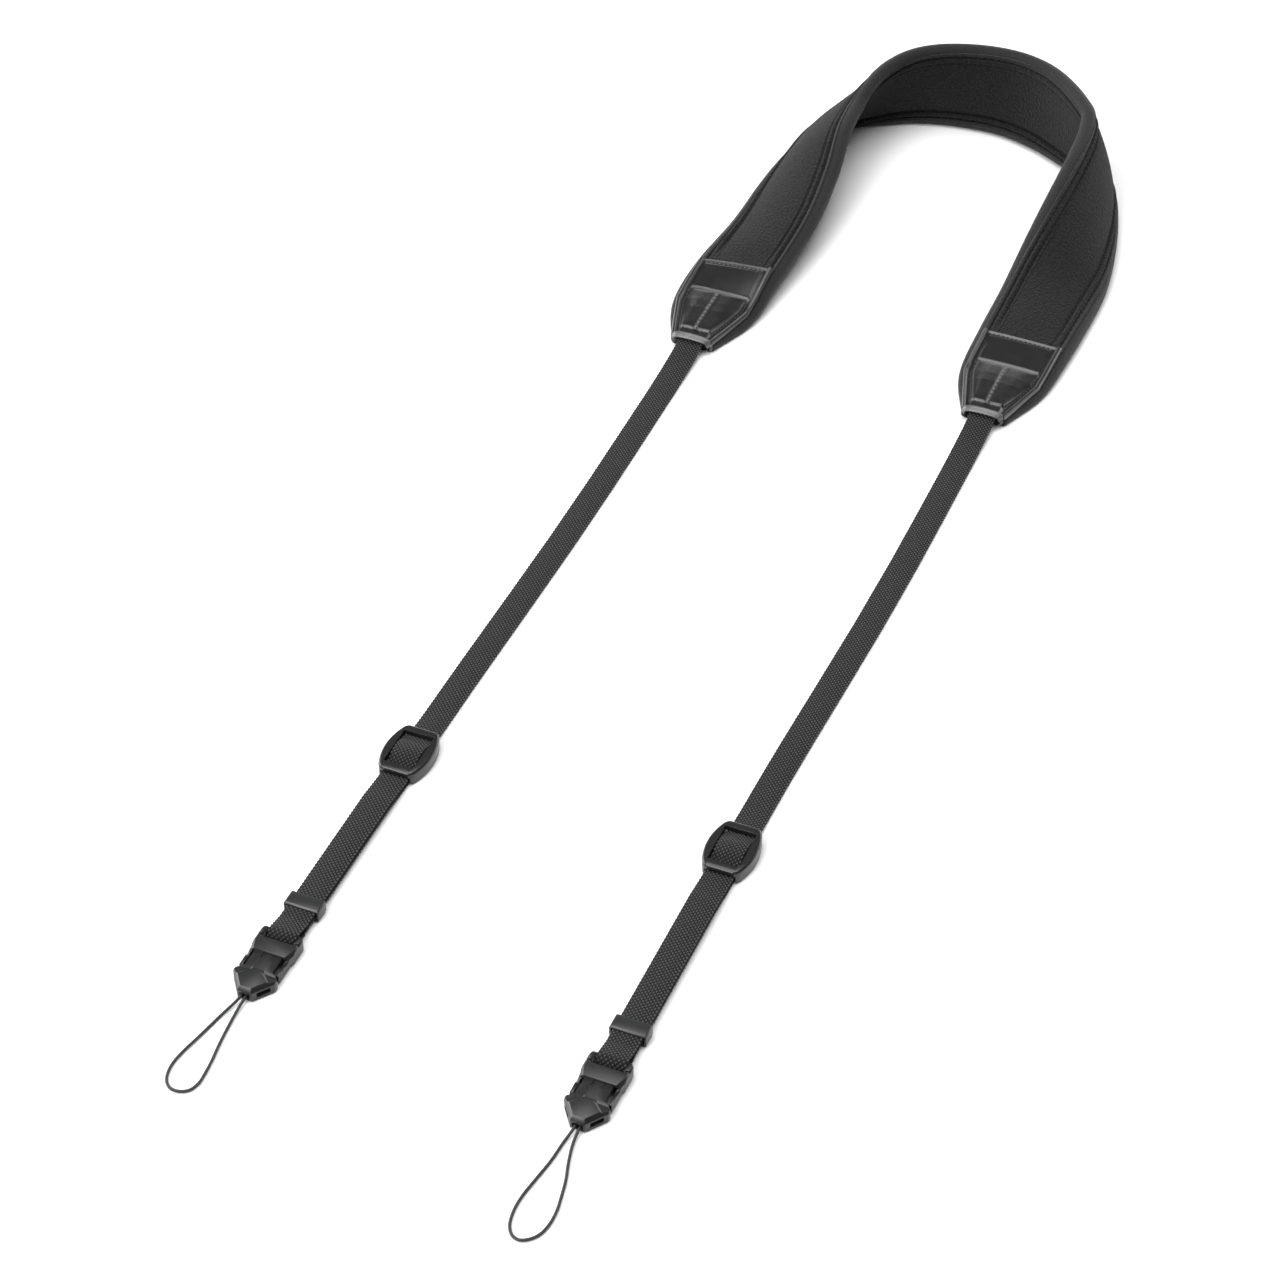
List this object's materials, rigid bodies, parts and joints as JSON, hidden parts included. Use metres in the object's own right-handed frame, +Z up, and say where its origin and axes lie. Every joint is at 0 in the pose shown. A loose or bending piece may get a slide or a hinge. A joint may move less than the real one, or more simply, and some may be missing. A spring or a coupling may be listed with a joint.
{
  "type": "camera neck strap",
  "caption": "Camera neck strap: padded neck band bent to an arch, sewn end tabs, narrow webbing with sliders and keepers, quick-release buckles and thin cord loops.",
  "frame": {"origin": "middle of the strap's plan, without its cord loops, on the table it lies on", "axes": "+Z up from the table, +Y from the buckles towards the crown of the neck band, +X to the right"},
  "size_m": [0.1532, 0.6018, 0.0375],
  "materials": {
    "pad": "charcoal-black knit over soft foam, matt",
    "binding": "dark grey rolled edge tape, matt",
    "tab": "glossy black leatherette",
    "webbing": "black woven webbing",
    "plastic": "satin dark grey moulded plastic",
    "keeper": "matt grey moulded ring",
    "cord": "smooth thin braided cord, dark grey"
  },
  "bodies": {
    "strap": {"neck_pad": "pad", "binding_top": "binding", "binding_bottom": "binding", "end_tab_left": "tab", "end_tab_right": "tab", "webbing_left": "webbing", "webbing_right": "webbing", "slider_left": "plastic", "slider_right": "plastic", "buckle_latch_left": "plastic", "buckle_latch_right": "plastic", "buckle_tip_left": "plastic", "buckle_tip_right": "plastic", "cord_loop_left": "cord", "cord_loop_right": "cord"},
    "keeper_ring_left": {"keeper_left": "keeper"},
    "keeper_ring_right": {"keeper_right": "keeper"}
  },
  "joints": [
    {"name": "keeper_left_slide", "type": "slide", "parent": "strap", "child": "keeper_ring_left", "axis": [0, 1, 0], "range_m": [-0.004, 0.048]},
    {"name": "keeper_right_slide", "type": "slide", "parent": "strap", "child": "keeper_ring_right", "axis": [0, 1, 0], "range_m": [-0.004, 0.055]}
  ]
}
